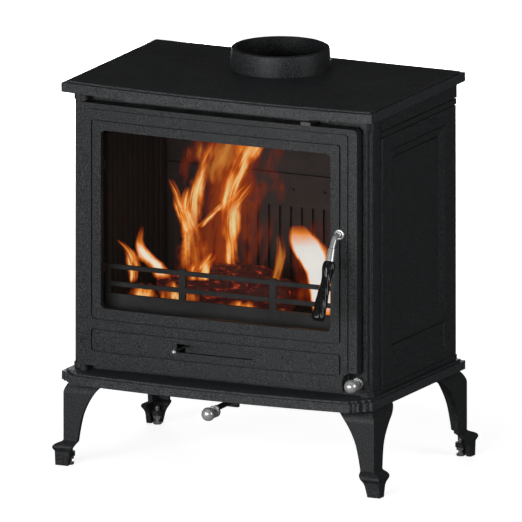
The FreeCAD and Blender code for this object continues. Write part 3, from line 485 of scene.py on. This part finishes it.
def floor():
    mat, tree, shader = material("studio_floor")
    patch = noise(tree, coordinates(tree), 1.5, 2.0)
    tree.links.new(ramp(tree, patch, [(0.3, grey(0.86)), (0.7, grey(0.90))]), shader.inputs["Base Color"])
    shader.inputs["Roughness"].default_value = 0.9
    shader.inputs["Specular IOR Level"].default_value = 0.1
    shader.inputs["Emission Color"].default_value = (1.0, 1.0, 1.0, 1.0)
    # The floor's glow is dimmer near the stove, 0.78 within 0.5 m rising to 0.97 beyond 1.5 m: painted shade
    # around the stove.
    away = add(tree, "ShaderNodeVectorMath", operation="LENGTH")
    tree.links.new(coordinates(tree), away.inputs[0])
    floor_glow_with_painted_shade = spread(tree, away.outputs["Value"], 0.5, 1.5, 0.78, 0.97)
    tree.links.new(floor_glow_with_painted_shade, shader.inputs["Emission Strength"])
    size = 39.0
    corners = [(-size, -size, 0), (size, -size, 0), (size, size, 0), (-size, size, 0)]
    plane = mesh_object("floor", corners, [(0, 1, 2, 3)], mat)
    plane.visible_diffuse = False
    plane.visible_glossy = False


def backdrop():
    mat, tree, shader = material("studio_backdrop")
    shader.inputs["Base Color"].default_value = (0.0, 0.0, 0.0, 1.0)
    shader.inputs["Emission Color"].default_value = (1.0, 1.0, 1.0, 1.0)
    shader.inputs["Emission Strength"].default_value = 1.0
    bpy.ops.mesh.primitive_uv_sphere_add(radius=40.0, segments=48, ring_count=24)
    dome = bpy.context.object
    dome.name = "backdrop"
    dome.data.materials.append(mat)
    dome.visible_diffuse = False
    dome.visible_glossy = False
    dome.visible_shadow = False


def area_light(name, place, target, size, energy):
    light = bpy.data.lights.new(name, "AREA")
    light.shape = "RECTANGLE"
    light.size = size[0]
    light.size_y = size[1]
    light.energy = energy
    lamp = bpy.data.objects.new(name, light)
    lamp.location = place
    lamp.rotation_euler = (Vector(target) - Vector(place)).to_track_quat("-Z", "Y").to_euler()
    bpy.context.scene.collection.objects.link(lamp)


def lights():
    world = bpy.data.worlds.new("studio")
    world.use_nodes = True
    world.node_tree.nodes["Background"].inputs["Color"].default_value = (1.0, 1.0, 1.0, 1.0)
    world.node_tree.nodes["Background"].inputs["Strength"].default_value = 0.06
    bpy.context.scene.world = world
    area_light("key", (-0.3, -3.2, 0.8), (0, 0, 0.4), (2.6, 1.3), 80.0)
    area_light("overhead", (0.0, -0.9, 2.6), (0, 0, 0.4), (2.0, 1.2), 2.0)
    area_light("side", (3.2, -0.2, 1.0), (0, 0, 0.4), (1.6, 1.6), 22.0)
    area_light("behind", (-1.6, 3.0, 0.33), (0, 0, 0.33), (2.4, 0.6), 50.0)


def camera():
    data = bpy.data.cameras.new("camera")
    data.type = "ORTHO"
    data.ortho_scale = VIEW_WIDTH
    eye = bpy.data.objects.new("camera", data)
    turn = Matrix((VIEW_RIGHT, VIEW_UP, VIEW_BACK)).transposed().to_4x4()
    eye.matrix_world = Matrix.Translation(LOOK_AT + VIEW_BACK * VIEW_DISTANCE) @ turn
    bpy.context.scene.collection.objects.link(eye)
    bpy.context.scene.camera = eye


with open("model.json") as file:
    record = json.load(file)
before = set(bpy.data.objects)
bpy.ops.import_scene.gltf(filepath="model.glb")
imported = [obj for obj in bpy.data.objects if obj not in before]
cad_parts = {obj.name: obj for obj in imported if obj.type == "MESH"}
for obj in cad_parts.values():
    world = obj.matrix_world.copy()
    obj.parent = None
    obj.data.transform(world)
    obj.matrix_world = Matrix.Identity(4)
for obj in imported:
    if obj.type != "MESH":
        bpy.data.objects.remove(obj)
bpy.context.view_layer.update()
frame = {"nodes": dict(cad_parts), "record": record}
bpy.context.scene.view_settings.view_transform = "Standard"

slots = {
    "cast_iron": cast_iron("cast_iron", 1.0),
    "chrome": chrome(),
    "grip": grip_paint(),
    "glass": glass(),
    "rope": rope(),
    "dark_steel": plated("dark_steel", 0.020, 0.055, 0.2),
    "zinc": plated("zinc", 0.14, 0.30, 0.6),
    "liner": fire_iron("liner", (0.026, 0.016, 0.014)),
    "fire_iron": fire_iron("fire_iron", (0.024, 0.023, 0.023)),
}
dress_nodes(frame, slots)
# Top and base plates: the same cast iron paint made 1.6 times lighter, painted light standing in for the
# stronger light on the plates.
plates_painted_lighter = cast_iron("plate_iron_painted_light", 1.6)
for name in ("top_plate", "base_plate"):
    frame["nodes"][name].data.materials[0] = plates_painted_lighter
frame["nodes"]["air_slider_plate"].data.materials[0] = slots["cast_iron"]
handle_grip(slots["grip"])
fire()
floor()
backdrop()
lights()
camera()
